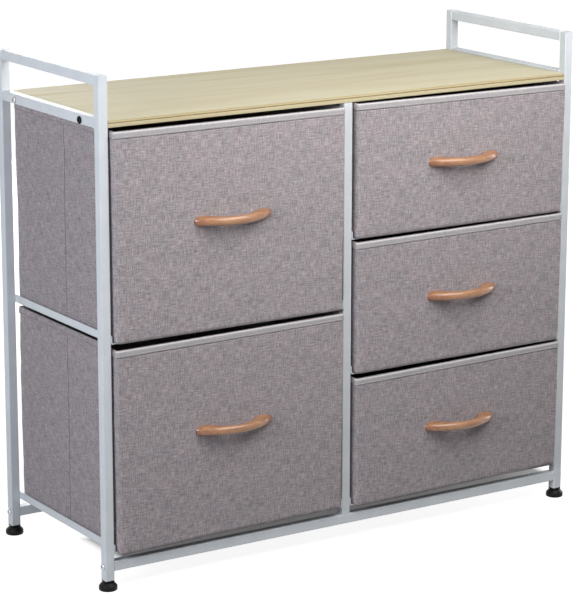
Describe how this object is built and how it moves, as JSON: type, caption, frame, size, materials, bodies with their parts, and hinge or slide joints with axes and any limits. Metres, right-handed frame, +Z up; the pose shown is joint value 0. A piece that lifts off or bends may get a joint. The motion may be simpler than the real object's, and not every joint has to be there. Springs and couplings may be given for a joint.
{
  "type": "fabric drawer dresser",
  "caption": "Low square-tube steel dresser with end handrails, a wood-look top, pull-out fabric bins with bow handles on angle runners, and levelling feet.",
  "frame": {"origin": "on the floor, under the middle of the outline's box, which reaches from the handles at the front to the rear feet", "axes": "+X to the right as seen from the front, +Y to the back, +Z up; the drawers open towards -Y"},
  "size_m": [0.812, 0.3394, 0.721],
  "materials": {
    "white_steel": "satin white powder coat",
    "board_wood": "satin pale maple foil on fibreboard",
    "linen": "heathered warm grey linen-look weave with a pale binding round the rim",
    "inner_board": "fibreboard covered in dark non-woven cloth",
    "handle_wood": "satin varnished beech",
    "black_plastic": "satin black moulding",
    "zinc": "zinc plated"
  },
  "bodies": {
    "frame": {"post_front_left": "white_steel", "post_front_right": "white_steel", "post_rear_left": "white_steel", "post_rear_right": "white_steel", "centre_post_front": "white_steel", "centre_post_rear": "white_steel", "bottom_rail_front": "white_steel", "bottom_rail_rear": "white_steel", "end_rail_left": "white_steel", "end_rail_right": "white_steel", "handrail_left": "white_steel", "handrail_right": "white_steel", "runner_left_bottom_l": "white_steel", "runner_left_bottom_r": "white_steel", "runner_left_top_l": "white_steel", "runner_left_top_r": "white_steel", "runner_right_bottom_l": "white_steel", "runner_right_bottom_r": "white_steel", "runner_right_middle_l": "white_steel", "runner_right_middle_r": "white_steel", "runner_right_top_l": "white_steel", "runner_right_top_r": "white_steel", "top_board": "board_wood", "board_screw_front_left": "black_plastic", "board_screw_front_right": "black_plastic", "board_screw_rear_left": "zinc", "board_screw_rear_right": "zinc", "rail_bolt_front_left": "zinc", "rail_bolt_front_right": "zinc", "rail_bolt_rear_left": "zinc", "rail_bolt_rear_right": "zinc", "foot_plug_front_left": "black_plastic", "foot_plug_front_right": "black_plastic", "foot_plug_rear_left": "black_plastic", "foot_plug_rear_right": "black_plastic"},
    "drawer_left_bottom": {"bin_left_bottom": "linen", "front_board_left_bottom": "inner_board", "base_board_left_bottom": "inner_board", "handle_left_bottom": "handle_wood"},
    "drawer_left_top": {"bin_left_top": "linen", "front_board_left_top": "inner_board", "base_board_left_top": "inner_board", "handle_left_top": "handle_wood"},
    "drawer_right_bottom": {"bin_right_bottom": "linen", "front_board_right_bottom": "inner_board", "base_board_right_bottom": "inner_board", "handle_right_bottom": "handle_wood"},
    "drawer_right_middle": {"bin_right_middle": "linen", "front_board_right_middle": "inner_board", "base_board_right_middle": "inner_board", "handle_right_middle": "handle_wood"},
    "drawer_right_top": {"bin_right_top": "linen", "front_board_right_top": "inner_board", "base_board_right_top": "inner_board", "handle_right_top": "handle_wood"},
    "foot_front_left": {"foot_front_left": "black_plastic"},
    "foot_front_right": {"foot_front_right": "black_plastic"},
    "foot_rear_left": {"foot_rear_left": "black_plastic"},
    "foot_rear_right": {"foot_rear_right": "black_plastic"}
  },
  "joints": [
    {"name": "slide_left_bottom", "type": "slide", "parent": "frame", "child": "drawer_left_bottom", "axis": [0, -1, 0], "range_m": [0, 0.22]},
    {"name": "slide_left_top", "type": "slide", "parent": "frame", "child": "drawer_left_top", "axis": [0, -1, 0], "range_m": [0, 0.22]},
    {"name": "slide_right_bottom", "type": "slide", "parent": "frame", "child": "drawer_right_bottom", "axis": [0, -1, 0], "range_m": [0, 0.22]},
    {"name": "slide_right_middle", "type": "slide", "parent": "frame", "child": "drawer_right_middle", "axis": [0, -1, 0], "range_m": [0, 0.22]},
    {"name": "slide_right_top", "type": "slide", "parent": "frame", "child": "drawer_right_top", "axis": [0, -1, 0], "range_m": [0, 0.22]},
    {"name": "level_front_left", "type": "hinge", "parent": "frame", "child": "foot_front_left", "pos_m": [-0.393, -0.12935, 0], "axis": [0, 0, 1], "continuous": true},
    {"name": "level_front_right", "type": "hinge", "parent": "frame", "child": "foot_front_right", "pos_m": [0.393, -0.12935, 0], "axis": [0, 0, 1], "continuous": true},
    {"name": "level_rear_left", "type": "hinge", "parent": "frame", "child": "foot_rear_left", "pos_m": [-0.393, 0.15665, 0], "axis": [0, 0, 1], "continuous": true},
    {"name": "level_rear_right", "type": "hinge", "parent": "frame", "child": "foot_rear_right", "pos_m": [0.393, 0.15665, 0], "axis": [0, 0, 1], "continuous": true}
  ]
}
